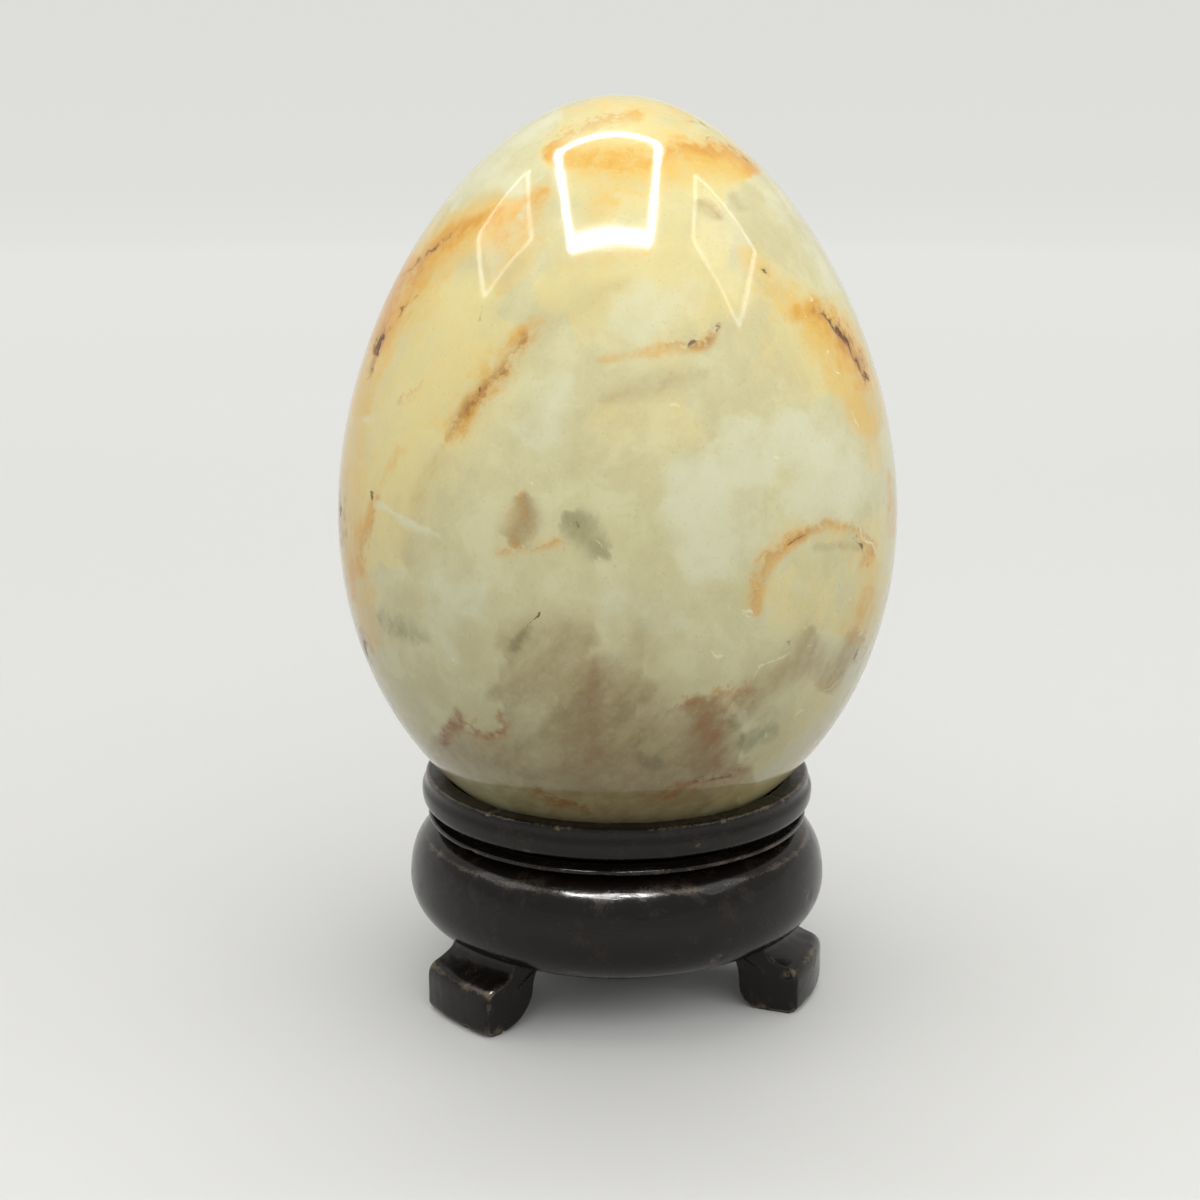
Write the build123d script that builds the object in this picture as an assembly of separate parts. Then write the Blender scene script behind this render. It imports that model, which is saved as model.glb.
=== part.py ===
from build123d import *
import os
from math import asin, cos, pi, sin

# A polished stone egg on a small turned wooden stand with three feet.
# Millimetres. +Z is up, the origin is the middle of the footprint, on the surface that the feet
# stand on, and the wide gap between two feet faces the viewer, who looks along +Y.

# The egg is a turned form, fuller below than above. The two shares bend its oval outline.
egg_height = 76.0
egg_diameter = 56.4
egg_taper_share = 0.118
egg_fullness_share = 0.049
egg_outline_steps = 16

# The seat is where the egg's side passes the plane of the rim's flat lip.
seat_radius = 18.0
seat_depth = 0.75
seat_clearance = 0.2

# The rim is a turned ring: a flat lip, a band that swells below it, and a short neck.
lip_width = 2.1
lip_edge_radius = 0.55
band_swell = 0.4
band_swell_drop = 2.0
band_drop = 3.35
band_undercut = 1.2
neck_step = 2.5
neck_height = 1.0
spigot_shoulder = 1.1
spigot_length = 2.0
rim_wall = 1.5

# The dish runs through the rim and on down into the body.
dish_gap = 4.6
dish_floor_radius = 6.5

# The body is a turned block: a bead and a quirk at its top, a full side, a fillet underneath.
bead_overhang = 2.3
bead_height = 0.65
quirk_height = 0.7
bulge_overhang = 1.8
belly_height = 4.4
belly_undercut = 3.6
fillet_step = 0.55
fillet_height = 0.7
floor_thickness = 4.4

# The feet stand under the body's edge. All three are sawn from one turned outline.
foot_names = ["right", "back", "left"]
first_foot_bearing = -19.8
foot_width = 10.3
foot_height = 6.65
foot_neck_step = 0.65
foot_kick = 3.55
foot_ramp_width = 2.3
foot_ramp_drop = 1.45
foot_shoulder_drop = 3.05
foot_toe_radius = 0.9
foot_sole_width = 3.85
foot_heel_width = 2.5
foot_heel_height = 3.2
foot_root_width = 1.4
foot_edge_radius = 0.25

# A hidden dowel pins each foot to the body.
peg_radius = 0.75
peg_length = 4.6
peg_wall = 0.45
peg_chamfer = 0.2

# The glue's thickness round pegs and spigot, and how far a cutting shape passes its work.
glue_gap = 0.05
overrun = 1.0

# How far a curve's handles reach, as a share of its run. Higher is squarer than an oval.
oval_share = 0.55
shoulder_share = 0.62
cove_share = 0.5
band_share = 0.8

# Directions in the plane of a turned outline, which holds a radius and a height.
outward = Vector(1, 0, 0)
inward = Vector(-1, 0, 0)
upward = Vector(0, 0, 1)
downward = Vector(0, 0, -1)
ramp_way = Vector(foot_ramp_width, 0, -foot_ramp_drop / 2).normalized()


def at(radius, height):
    """A point of a turned outline."""
    return Vector(radius, 0, height)


def bend(start, start_way, end, end_way, share):
    """A smooth curve that leaves start and reaches end in the given ways."""
    chord = end - start
    first = start + start_way * (chord.dot(start_way) * share)
    last = end - end_way * (chord.dot(end_way) * share)
    return Bezier(start, first, last, end)


def turned(*outline):
    """The solid that a closed outline makes when it is turned about the Z axis."""
    return revolve(make_face(outline), Axis.Z)


def egg_radius_at_angle(angle):
    """The egg's radius at an angle from its top, 0 to pi: a bent oval."""
    lean = cos(angle)
    bending = 1 - egg_taper_share * lean - egg_fullness_share * lean**2
    return egg_diameter / 2 * sin(angle) * bending


def seat_angle():
    """The angle on the egg's lower half at which its radius is that of the seat, by halving."""
    above = pi / 2
    below = pi
    for halving in range(50):
        middle = (above + below) / 2
        if egg_radius_at_angle(middle) > seat_radius:
            above = middle
        else:
            below = middle
    return above


# Heights, from the ground up: the foot, the floor of the dish, and the egg that fixes the lip.
body_bottom = foot_height
dish_floor = body_bottom + floor_thickness
egg_bottom = dish_floor + dish_gap
egg_middle = egg_bottom + egg_height / 2
lip_top = egg_middle + egg_height / 2 * cos(seat_angle())
band_bottom = lip_top - band_drop
neck_bottom = band_bottom - neck_height
spigot_bottom = neck_bottom - spigot_length
bead_bottom = neck_bottom - bead_height
quirk_bottom = bead_bottom - quirk_height
body_edge = body_bottom + fillet_height
bulge = body_edge + belly_height

# Radii, from the seat outward and inward.
lip_radius = seat_radius + lip_width
band_radius = lip_radius + band_swell
neck_radius = lip_radius - neck_step
spigot_radius = neck_radius - spigot_shoulder
bead_radius = neck_radius + bead_overhang
bulge_radius = lip_radius + bulge_overhang
body_edge_radius = bulge_radius - belly_undercut
fillet_radius = body_edge_radius - fillet_step
foot_neck_radius = fillet_radius + foot_neck_step
foot_radius = foot_neck_radius + foot_kick
foot_heel_radius = foot_radius - foot_sole_width
foot_back_radius = foot_heel_radius - foot_heel_width
foot_root_radius = foot_back_radius - foot_root_width
peg_circle_radius = fillet_radius - peg_wall - glue_gap - peg_radius


def egg_radius_at_height(height):
    """The egg's radius at a height above the ground."""
    return egg_radius_at_angle(pi / 2 - asin((height - egg_middle) / (egg_height / 2)))


def make_egg():
    """One solid stone egg, turned from its outline."""
    top = at(0, egg_middle + egg_height / 2)
    bottom = at(0, egg_bottom)
    angles = [pi * step / egg_outline_steps for step in range(1, egg_outline_steps)]
    side = [at(egg_radius_at_angle(angle), egg_middle + egg_height / 2 * cos(angle)) for angle in angles]
    return turned(Spline(top, *side, bottom, tangents=[outward, inward]), Line(bottom, top))


def dish_hollow():
    """The hollow under the egg: a sloping seat, one smooth wall and a flat floor."""
    seat_low = lip_top - seat_depth
    seat_top = at(egg_radius_at_height(lip_top) + seat_clearance, lip_top)
    mouth = at(egg_radius_at_height(seat_low) + seat_clearance, seat_low)
    waist = at(spigot_radius - rim_wall, neck_bottom)
    floor_edge = at(dish_floor_radius, dish_floor)
    above = lip_top + overrun
    lid = Polyline(floor_edge, at(0, dish_floor), at(0, above), at(seat_top.X, above), seat_top, mouth)
    return turned(Spline(mouth, waist, floor_edge), lid)


def make_rim():
    """The ring that carries the egg, with a spigot that is let into the body."""
    lip_corner = at(lip_radius - lip_edge_radius, lip_top)
    lip_side = at(lip_radius, lip_top - lip_edge_radius)
    swell = at(band_radius, lip_top - band_swell_drop)
    under = at(band_radius - band_undercut, band_bottom)
    ring = turned(
        bend(lip_corner, outward, lip_side, downward, oval_share),
        bend(lip_side, downward, swell, downward, oval_share),
        bend(swell, downward, under, inward, band_share),
        Polyline(
            under,
            at(neck_radius, band_bottom),
            at(neck_radius, neck_bottom),
            at(spigot_radius, neck_bottom),
            at(spigot_radius, spigot_bottom),
            at(0, spigot_bottom),
            at(0, lip_top),
            lip_corner,
        ),
    )
    return ring - dish_hollow()


def around(bearing, shape):
    """A shape carried round the Z axis to a foot's bearing."""
    return Rot(0, 0, bearing) * shape


def peg(radius, length):
    """An upright peg or peg hole, half in the foot and half in the body, at bearing zero."""
    return Pos(peg_circle_radius, 0, body_bottom) * Cylinder(radius, length)


def peg_holes(bearings):
    """The glued holes for the pegs."""
    hole = peg(peg_radius + glue_gap, peg_length + 2 * glue_gap)
    return [around(bearing, hole) for bearing in bearings]


def turned_block():
    """The body as it comes off the lathe, before it is hollowed and bored."""
    bead_rounding = bead_height / 2
    bead_top = at(bead_radius - bead_rounding, neck_bottom)
    bead_middle = at(bead_radius, neck_bottom - bead_rounding)
    bead_foot = at(bead_radius - bead_rounding, bead_bottom)
    quirk = at(neck_radius, quirk_bottom)
    full = at(bulge_radius, bulge)
    edge = at(body_edge_radius, body_edge)
    return turned(
        ThreePointArc(bead_top, bead_middle, bead_foot),
        Polyline(bead_foot, at(neck_radius, bead_bottom), quirk),
        bend(quirk, outward, full, downward, shoulder_share),
        bend(full, downward, edge, inward, oval_share),
        Polyline(
            edge,
            at(fillet_radius, body_edge),
            at(fillet_radius, body_bottom),
            at(0, body_bottom),
            at(0, neck_bottom),
            bead_top,
        ),
    )


def make_body(bearings):
    """The bulging block under the rim, with the rim's socket, the dish and the peg holes."""
    socket_depth = spigot_length + glue_gap
    socket = Pos(0, 0, neck_bottom - socket_depth / 2) * Cylinder(spigot_radius + glue_gap, socket_depth)
    return turned_block() - socket - dish_hollow() - peg_holes(bearings)


def make_foot():
    """One foot at bearing zero: a slice of a turned ring with sawn sides, scribed to the body."""
    above = body_edge + overrun
    neck = at(foot_neck_radius, body_bottom)
    ramp = at(foot_neck_radius + foot_ramp_width, body_bottom - foot_ramp_drop)
    shoulder = at(foot_radius, body_bottom - foot_shoulder_drop)
    toe_side = at(foot_radius, foot_toe_radius)
    toe = at(foot_radius - foot_toe_radius, 0)
    heel = at(foot_heel_radius, 0)
    back = at(foot_back_radius, foot_heel_height)
    root = at(foot_root_radius, body_bottom)
    ring = turned(
        Polyline(root, at(foot_root_radius, above), at(foot_neck_radius, above), neck),
        bend(neck, downward, ramp, ramp_way, cove_share),
        bend(ramp, ramp_way, shoulder, downward, oval_share),
        Line(shoulder, toe_side),
        bend(toe_side, downward, toe, inward, oval_share),
        Line(toe, heel),
        bend(heel, inward, back, upward, oval_share),
        bend(back, upward, root, inward, oval_share),
    )
    slice_length = foot_radius + overrun
    slice_height = above + 2 * overrun
    saw_slice = Pos(slice_length / 2, 0, above / 2) * Box(slice_length, foot_width, slice_height)
    foot = ring & saw_slice
    heel_middle = foot_heel_radius - foot_heel_width / 2
    sawn_edges = foot.edges().filter_by(lambda edge: edge.center().X > heel_middle)
    sawn_edges = sawn_edges.filter_by(lambda edge: edge.center().Z < body_bottom - foot_edge_radius)
    sawn_edges = sawn_edges.filter_by(lambda edge: abs(edge.center().Y) > foot_width / 4)
    return fillet(sawn_edges, foot_edge_radius) - turned_block() - peg_holes([0])


def make_peg():
    """One dowel at bearing zero, eased at both ends."""
    dowel = peg(peg_radius, peg_length)
    return chamfer(dowel.edges().filter_by(GeomType.CIRCLE), peg_chamfer)


foot_bearings = [first_foot_bearing + 360 * turn / len(foot_names) for turn in range(len(foot_names))]
nodes = {
    "egg": make_egg(),
    "rim": make_rim(),
    "body": make_body(foot_bearings),
}
for name, bearing in zip(foot_names, foot_bearings):
    nodes["foot_" + name] = around(bearing, make_foot())
    nodes["foot_peg_" + name] = around(bearing, make_peg())

os.makedirs("parts", exist_ok=True)
for name, solid in nodes.items():
    export_step(solid, "parts/" + name + ".step")

print("lip height", round(lip_top, 3), "egg bottom", round(egg_bottom, 3), "dish floor", round(dish_floor, 3))
print("bulge height", round(bulge, 3), "quirk height", round(quirk_bottom, 3))
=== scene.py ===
"""A polished stone egg on a small turned wooden stand with three sawn feet.

The file follows the object as it is put together: pegs, feet, body, rim, egg, then the floor
and the lamps. Sizes are in millimetres and become metres where a mesh or a lamp is made.
"""
from math import cos, pi, radians, sin, tau

import bpy
import numpy as np
from mathutils import Matrix, Vector


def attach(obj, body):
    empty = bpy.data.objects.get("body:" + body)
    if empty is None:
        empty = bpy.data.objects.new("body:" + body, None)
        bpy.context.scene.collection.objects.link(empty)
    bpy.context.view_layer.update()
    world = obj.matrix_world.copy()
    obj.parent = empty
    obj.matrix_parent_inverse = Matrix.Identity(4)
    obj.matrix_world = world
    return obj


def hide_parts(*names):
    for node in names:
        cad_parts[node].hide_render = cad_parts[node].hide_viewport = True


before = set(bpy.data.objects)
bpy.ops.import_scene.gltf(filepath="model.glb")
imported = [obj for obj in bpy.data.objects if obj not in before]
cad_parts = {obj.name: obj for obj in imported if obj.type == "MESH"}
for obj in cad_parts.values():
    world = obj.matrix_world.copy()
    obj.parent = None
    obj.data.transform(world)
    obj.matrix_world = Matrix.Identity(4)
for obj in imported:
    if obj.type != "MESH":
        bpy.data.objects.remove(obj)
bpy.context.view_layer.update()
mm = 0.001

# ---- Viewpoint
# The place from which the photograph was taken, a hand's breadth above the egg's middle and
# looking a little down. Marks on the egg are given where they are seen from here.
photo_side = 1200
lens, sensor = 60, 36
focal_pixels = photo_side * lens / sensor
eye = np.array([-1.76, -200.7, 90.59])
eye_drop = radians(13.9)

camera = bpy.data.objects.new("camera", bpy.data.cameras.new("camera"))
camera.data.lens = lens
camera.data.sensor_width = sensor
camera.data.clip_start = 0.01
camera.location = eye * mm
camera.rotation_euler = (pi / 2 - eye_drop, 0, 0)
bpy.context.scene.collection.objects.link(camera)
bpy.context.scene.camera = camera


# ---- Pegs
# Three hidden dowels of bare hardwood, each glued half in a foot and half in the body. The
# solids of the frame are right as they are and only get their wood.
class Wire:
    """A socket of a material's nodes. Sums and products of wires add Math nodes."""

    def __init__(self, tree, socket):
        self.tree = tree
        self.socket = socket

    def node(self, kind, settings, inputs, output=0):
        """Any other node of the same material: its settings first, then its sockets."""
        made = self.tree.nodes.new(kind)
        for name, value in settings.items():
            if name == "stops":
                ramp = made.color_ramp.elements
                while len(ramp) < len(value):
                    ramp.new(0.5)
                for stop, (place, colour) in zip(ramp, value):
                    stop.position = place
                    stop.color = colour
            else:
                setattr(made, name, value)
        for name, value in inputs.items():
            if isinstance(value, Wire):
                self.tree.links.new(value.socket, made.inputs[name])
            else:
                made.inputs[name].default_value = value
        return Wire(self.tree, made.outputs[output])

    def math(self, operation, *others):
        """A Math node on this value and the others."""
        return self.node("ShaderNodeMath", {"operation": operation}, dict(enumerate((self, *others))))

    def __add__(self, other):
        return self.math("ADD", other)

    __radd__ = __add__

    def __sub__(self, other):
        return self.math("SUBTRACT", other)

    def __rsub__(self, other):
        return self.node("ShaderNodeMath", {"operation": "SUBTRACT"}, {0: other, 1: self})

    def __mul__(self, other):
        return self.math("MULTIPLY", other)

    def __truediv__(self, other):
        return self.math("DIVIDE", other)

    def __abs__(self):
        return self.math("ABSOLUTE")

    def step(self, low, high):
        """0 up to low, 1 from high on, and a smooth rise between them; low may be the higher."""
        return self.node(
            "ShaderNodeMapRange",
            {"interpolation_type": "SMOOTHSTEP"},
            {"Value": self, "From Min": low, "From Max": high, "To Min": 0, "To Max": 1},
        )

    def between(self, colour, other):
        """The first colour where this mask is 0 and the other colour where it is 1."""
        return self.node("ShaderNodeMix", {"data_type": "RGBA"}, {0: self, 6: colour, 7: other}, 2)

    def tint(self, mask, colour):
        """This colour where the mask is 0 and the other colour where it is 1."""
        return mask.between(self, colour)

    def grain(self, size, detail, rough, stretch=(1, 1, 1)):
        """Noise from 0 to 1 at this place, with lumps of that size in millimetres."""
        place = self.node("ShaderNodeVectorMath", {"operation": "MULTIPLY"}, {0: self, 1: stretch})
        sockets = {"Vector": place, "Scale": 1 / (size * mm), "Detail": detail, "Roughness": rough}
        return self.node("ShaderNodeTexNoise", {}, sockets)

    def shaken(self, size, reach):
        """This place, carried aside by noise of that size, as far as reach. Millimetres."""
        sockets = {"Vector": self, "Scale": 1 / (size * mm), "Detail": 2}
        noise = self.node("ShaderNodeTexNoise", {}, sockets, 1)
        span, half_back = (reach * mm * 2,) * 3, (-reach * mm,) * 3
        sockets = {0: noise, 1: span, 2: half_back}
        push = self.node("ShaderNodeVectorMath", {"operation": "MULTIPLY_ADD"}, sockets)
        return self.node("ShaderNodeVectorMath", {"operation": "ADD"}, {0: self, 1: push})

    def bump(self, height, strength):
        """The normal of a surface that rises by this value, 0 to 1, times height in millimetres."""
        sockets = {"Height": self, "Distance": height * mm, "Strength": strength}
        return self.node("ShaderNodeBump", {}, sockets)


def paint(name):
    """A new material: (the material, its shader, a wire with the place on the object)."""
    material = bpy.data.materials.new(name)
    material.use_nodes = True
    tree = material.node_tree
    shader = tree.nodes["Principled BSDF"]
    place = tree.nodes.new("ShaderNodeTexCoord").outputs["Object"]
    return material, shader, Wire(tree, place)


def feed(shader, **inputs):
    """Sets or links the shader's sockets, which are named with underscores for spaces."""
    for name, value in inputs.items():
        socket = shader.inputs[name.replace("_", " ")]
        if isinstance(value, Wire):
            value.tree.links.new(value.socket, socket)
        else:
            socket.default_value = value


def shade(red, green, blue):
    """A colour given as 0 to 255 on a screen, as light: the screen's curve undone."""
    parts = [part / 255 for part in (red, green, blue)]
    return *[p / 12.92 if p <= 0.04045 else ((p + 0.055) / 1.055) ** 2.4 for p in parts], 1


dowel_wood, dowel_shader, place = paint("bare_wood")
fibres = place.shaken(3, 0.3).grain(0.35, 3, 0.6, (1, 1, 0.08))
dowel_colour = fibres.node(
    "ShaderNodeValToRGB",
    {"stops": [(0.3, shade(138, 92, 56)), (0.6, shade(186, 138, 92)), (0.8, shade(202, 158, 112))]},
    {0: fibres},
)
feed(dowel_shader, Base_Color=dowel_colour, Roughness=fibres * 0.2 + 0.6, Normal=fibres.bump(0.03, 0.6))

foot_names = ["right", "back", "left"]
for foot_name in foot_names:
    peg_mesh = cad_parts["foot_peg_" + foot_name].data
    peg_mesh.materials.clear()
    peg_mesh.materials.append(dowel_wood)

# ---- Feet
# Three stubby hardwood feet, sawn from one turned ring so that their sides are flat, eased at
# the edges, glued and pegged under the body's edge and lacquered with it.
body_bottom = 6.65
fillet_radius = 17.75
body_edge_radius, body_edge = 18.3, 7.35
bulge_radius, bulge = 21.9, 11.75
foot_width = 10.3
foot_neck_radius = 18.4
foot_radius = 21.95
foot_ramp = (2.3, 1.45)
foot_shoulder_drop = 3.05
foot_toe_radius = 0.9
foot_root_radius = 13.9
foot_easing = 0.42
foot_easing_fade = 0.8
first_foot_bearing = radians(-19.8)
joint_gap = 0.02

out, into, up, down = np.array([1.0, 0]), np.array([-1.0, 0]), np.array([0, 1.0]), np.array([0, -1.0])


def bend(start, start_way, end, end_way, share, count=24):
    """Points of a cubic Bezier curve that leaves start and reaches end in the given ways.

    Each handle reaches along its way by share times the chord's part in that way.
    """
    start, end = np.array(start, float), np.array(end, float)
    chord = end - start
    first = start + start_way * (chord @ start_way * share)
    last = end - end_way * (chord @ end_way * share)
    t = np.linspace(0, 1, count)[:, None]
    return (1 - t) ** 3 * start + 3 * t * (1 - t) ** 2 * first + 3 * t * t * (1 - t) * last + t**3 * end


def softened(outline, step, easing, closed=True):
    """An outline with even steps along it and its corners eased: each point becomes the mean
    of its neighbours along the line, weighted by a bell curve of that width."""
    outline = np.vstack(outline)
    if closed:
        outline = np.vstack([outline, outline[:1]])
    run = np.hypot(*np.diff(outline, axis=0).T)
    outline = outline[np.append(True, run > 1e-6)]
    travel = np.append(0, np.cumsum(run[run > 1e-6]))
    count = int(travel[-1] / step)
    even = np.linspace(0, travel[-1], count, endpoint=not closed)
    points = np.stack([np.interp(even, travel, axis) for axis in outline.T], 1)
    reach = int(3 * easing / step) + 1
    weight = np.exp(-0.5 * (np.arange(-reach, reach + 1) * step / easing) ** 2)
    padded = np.pad(points, ((reach, reach), (0, 0)), mode="wrap" if closed else "edge")
    eased = [np.convolve(axis, weight / weight.sum(), "valid") for axis in padded.T]
    return np.stack(eased, 1)


def spaced(points, count, flat, closed=True):
    """The same line with count points, close together where it turns and up to about flat
    millimetres apart where it is straight: even steps of length / flat + turning / 8 degrees."""
    line = np.vstack([points, points[:1]]) if closed else points
    edge = np.diff(line, axis=0)
    run = np.hypot(*edge.T)
    heading = np.unwrap(np.arctan2(edge[:, 1], edge[:, 0]))
    turning = np.abs(np.diff(heading, prepend=heading[:1]))
    travel = np.append(0, np.cumsum(run / flat + turning / radians(8)))
    even = np.linspace(0, travel[-1], count, endpoint=not closed)
    return np.stack([np.interp(even, travel, axis) for axis in line.T], 1)


def radius_of(points):
    """How far each point is from the upright axis."""
    return np.hypot(points[:, 0], points[:, 1])


def bell(values, middle, width):
    """1 where a value is at the middle, falling as a bell curve to 0.37 at that width from it."""
    return np.exp(-(((values - middle) / width) ** 2))


def lumps(points, size, seed, waves=5):
    """Smooth unevenness from -1 to 1 over points: the mean of sines that run in ways drawn at
    random, with wavelengths of about that size."""
    draw = np.random.default_rng(seed)
    total = np.zeros(len(points))
    for wave in range(waves):
        way = draw.normal(size=3)
        way *= tau / size / np.linalg.norm(way) * draw.uniform(0.7, 1.4)
        total += np.sin(points @ way + draw.uniform(0, tau))
    return total / waves


def outward(grid, open_rows):
    """Unit normals of a grid of points, from the differences to the neighbours along its rows
    and columns, turned outward by the sign of the closed surface's volume."""
    across = np.roll(grid, -1, 1) - np.roll(grid, 1, 1)
    along = np.gradient(grid, axis=0) if open_rows else np.roll(grid, -1, 0) - np.roll(grid, 1, 0)
    normal = np.cross(across, along)
    area = np.linalg.norm(normal, axis=2, keepdims=True)
    normal = normal / np.maximum(area, 1e-12)
    return normal * np.sign(np.sum(grid * normal * area) or 1)


def make_object(name, points, faces, material):
    """An object in the scene with a smooth mesh of that material, from points in millimetres."""
    mesh = bpy.data.meshes.new(name)
    mesh.from_pydata((points * mm).tolist(), [], faces)
    mesh.polygons.foreach_set("use_smooth", np.ones(len(faces), bool))
    mesh.materials.append(material)
    made = bpy.data.objects.new(name, mesh)
    bpy.context.scene.collection.objects.link(made)
    return made


def make_piece(name, grid, open_rows, values, material, body):
    """A closed mesh piece from a grid of points, whose columns close round.

    With open rows the first and last row are each drawn together to one pole. Otherwise the
    rows close round too. Values holds (name, one number per grid point) for the material.
    """
    rows, columns = grid.shape[:2]
    number = np.arange(rows * columns).reshape(rows, columns)
    right = np.roll(number, -1, 1)
    if open_rows:
        near, far = slice(None, -1), slice(1, None)
        quads = np.stack([number[near], number[far], right[far], right[near]], -1).reshape(-1, 4)
    else:
        below, below_right = np.roll(number, -1, 0), np.roll(right, -1, 0)
        quads = np.stack([number, below, below_right, right], -1).reshape(-1, 4)
    points = grid.reshape(-1, 3)
    corners = points[quads]
    volume = np.sum(corners[:, 0] * np.cross(corners[:, 1], corners[:, 2]))
    volume += np.sum(corners[:, 0] * np.cross(corners[:, 2], corners[:, 3]))
    if volume < 0:
        quads = quads[:, ::-1]
    faces = quads.tolist()
    if open_rows:
        pole_faces = np.array(faces).reshape(rows - 1, columns, 4)
        merged = {row: number[row, 0] for row in (0, rows - 1)}
        top, bottom = pole_faces[0], pole_faces[-1]
        top = np.where(np.isin(top, number[0]), merged[0], top).tolist()
        bottom = np.where(np.isin(bottom, number[-1]), merged[rows - 1], bottom).tolist()
        tips = [list(dict.fromkeys(face)) for face in top + bottom]
        faces = tips + pole_faces[1:-1].reshape(-1, 4).tolist()
        used = np.ones(rows * columns, bool)
        used[number[0, 1:]] = used[number[-1, 1:]] = False
        renumber = np.cumsum(used) - 1
        faces = [[int(renumber[corner]) for corner in face] for face in faces]
        points = points[used]
        values = [(label, np.ravel(value)[used]) for label, value in values]
    piece = make_object(name, points, faces, material)
    for label, value in values:
        attribute = piece.data.attributes.new(label, "FLOAT", "POINT")
        attribute.data.foreach_set("value", np.ravel(value).astype(np.float32))
    piece.data.update()
    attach(piece, body)
    return piece


lacquer, lacquer_shader, place = paint("dark_lacquered_wood")
worn = place.node("ShaderNodeAttribute", {"attribute_name": "worn"}, {}, 2)
mottle = place.shaken(6, 1.5).grain(2.6, 4, 0.6)
speckle = place.grain(0.22, 2, 0.6)
pores = place.shaken(5, 0.4).grain(0.5, 2, 0.5, (0.09, 1, 1))
dust = place.grain(0.5, 4, 0.7)
# Worn lacquer where the wood shows through. On the lip edge, bead crest and body shoulder this is a painted
# highlight: paler, browner and a little glossier.
rub_and_highlight = (worn + (mottle - 0.5) * 1.2 + (speckle - 0.5) * 0.8).step(0.35, 0.95)
dusty = (dust + (mottle - 0.5) * 1.5 - 0.5).step(0.02, 0.22) * 0.5
coat = mottle.step(0.45, 0.75).between(shade(17, 13, 11), shade(27, 20, 16))
coat = coat.tint(pores.step(0.58, 0.66) * 0.6, shade(8, 6, 5))
coat = coat.tint(dusty * 0.3, shade(50, 44, 33))
coat = coat.tint(rub_and_highlight * 0.6, shade(122, 108, 88))
skin = mottle * 0.5 + speckle * 0.25 - pores.step(0.56, 0.66) * 0.35
feed(
    lacquer_shader,
    Base_Color=coat,
    Roughness=0.17 + (mottle - 0.5) * 0.2 + dusty * 0.2 - rub_and_highlight * 0.04,
    Normal=skin.bump(0.02, 0.5),
    Specular_IOR_Level=0.3,
)

# Corners of the foot's outline, as (distance from the axis, height).
ramp_way = np.array([foot_ramp[0], -foot_ramp[1] / 2]) / np.hypot(foot_ramp[0], foot_ramp[1] / 2)
neck = (foot_neck_radius, body_edge - joint_gap)
ramp = (foot_neck_radius + foot_ramp[0], body_bottom - foot_ramp[1])
shoulder = (foot_radius, body_bottom - foot_shoulder_drop)
toe_side = (foot_radius, foot_toe_radius)
toe = (foot_radius - foot_toe_radius, 0)
root = (foot_root_radius, body_bottom - joint_gap)
side_middle = np.array([18.4, 4.4])


def foot_shape(heel_radius, back):
    """A foot's grid of points at bearing zero, from its outline carried across its width.

    At each sawn side the outline draws in round a quarter circle, which eases the edge except
    where it meets the body, and then shrinks to the side's middle.
    """
    outline = softened(
        [
            [root, (fillet_radius + joint_gap, body_bottom - joint_gap)],
            [(fillet_radius + joint_gap, body_edge - joint_gap)],
            bend(neck, down, ramp, ramp_way, 0.5),
            bend(ramp, ramp_way, shoulder, down, 0.55),
            bend(toe_side, down, toe, into, 0.55, 8),
            bend((heel_radius, 0), into, back, up, 0.5),
            bend(back, up, root, into, 0.55),
        ],
        step=0.05,
        easing=0.1,
    )
    outline = spaced(outline, count=220, flat=0.22)
    edge_way = np.roll(outline, -1, 0) - np.roll(outline, 1, 0)
    edge_way /= np.hypot(*edge_way.T)[:, None]
    inward_way = np.stack([-edge_way[:, 1], edge_way[:, 0]], 1)
    if np.sum((outline - side_middle) * inward_way) > 0:
        inward_way = -inward_way
    below = np.clip((body_bottom - outline[:, 1:]) / foot_easing_fade, 0, 1)
    easing = inward_way * (foot_easing * below * below * (3 - 2 * below) + joint_gap)
    side_rows, edge_rows, middle_rows = 13, 7, 48
    side_share = np.linspace(0, 1, side_rows, endpoint=False)[:, None, None] ** 0.8
    sides = side_middle + (outline + easing - side_middle) * side_share
    side_at = np.full(side_rows, foot_width / 2)
    quarter = np.linspace(0, pi / 2, edge_rows)[:, None, None]
    edges = outline + easing * (1 - np.sin(quarter))
    edge_at = foot_width / 2 - foot_easing * (1 - np.cos(quarter.ravel()))
    middle = np.repeat(outline[None], middle_rows, 0)
    middle_at = np.linspace(-1, 1, middle_rows + 2)[1:-1] * (foot_width / 2 - foot_easing)
    rows = np.concatenate([sides, edges, middle, edges[::-1], sides[::-1]])
    across = np.concatenate([-side_at, -edge_at, middle_at, edge_at[::-1], side_at])[:, None]
    reach = np.sqrt(np.maximum(rows[..., 0] ** 2 - across**2, 0))
    return np.stack([reach, np.broadcast_to(across, reach.shape), rows[..., 1]], -1)


# The feet were cut by eye, and the left one tapers most: (the sole's inner end, the back's middle).
foot_backs = {"left": (20.0, (16.0, 3.9)), "right": (17.9, (15.85, 2.3)), "back": (18.6, (15.9, 3.2))}

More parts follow.
